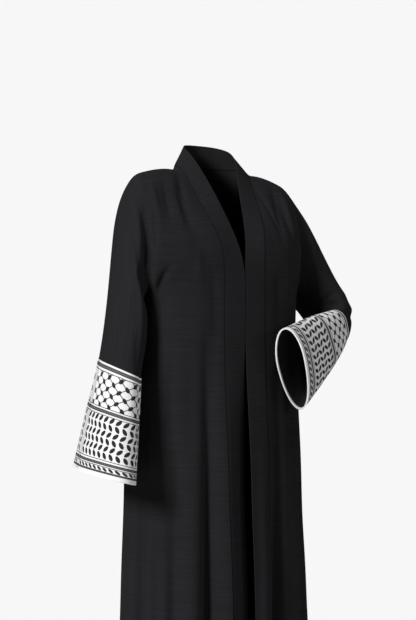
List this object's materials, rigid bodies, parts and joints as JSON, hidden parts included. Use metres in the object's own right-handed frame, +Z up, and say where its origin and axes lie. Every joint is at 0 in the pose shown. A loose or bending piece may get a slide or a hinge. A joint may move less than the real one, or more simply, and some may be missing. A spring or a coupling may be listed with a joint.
{
  "type": "worn open abaya",
  "caption": "Long open-front abaya in black crepe, holding its worn form, with a standing neck band, wide dolman sleeves and patterned black and white cuffs.",
  "frame": {"origin": "midway between the two points where the neck meets the shoulders, where the wearer carries the garment", "axes": "+Z up, the wearer faces -Y, and +X is to the wearer's left"},
  "size_m": [0.614, 0.3468, 1.4669],
  "materials": {
    "crepe": "black crepe with fine slubs, soft sheen",
    "band": "black crepe, folded double and pressed",
    "cuff": "woven black and white net and leaf pattern",
    "binding": "white woven binding"
  },
  "bodies": {
    "root": {"front_right": "crepe", "front_left": "crepe", "back_right": "crepe", "back_left": "crepe", "band_right": "band", "band_left": "band", "cuff_right": "cuff", "cuff_left": "cuff", "cuff_edge_right": "binding", "cuff_edge_left": "binding"}
  },
  "joints": []
}
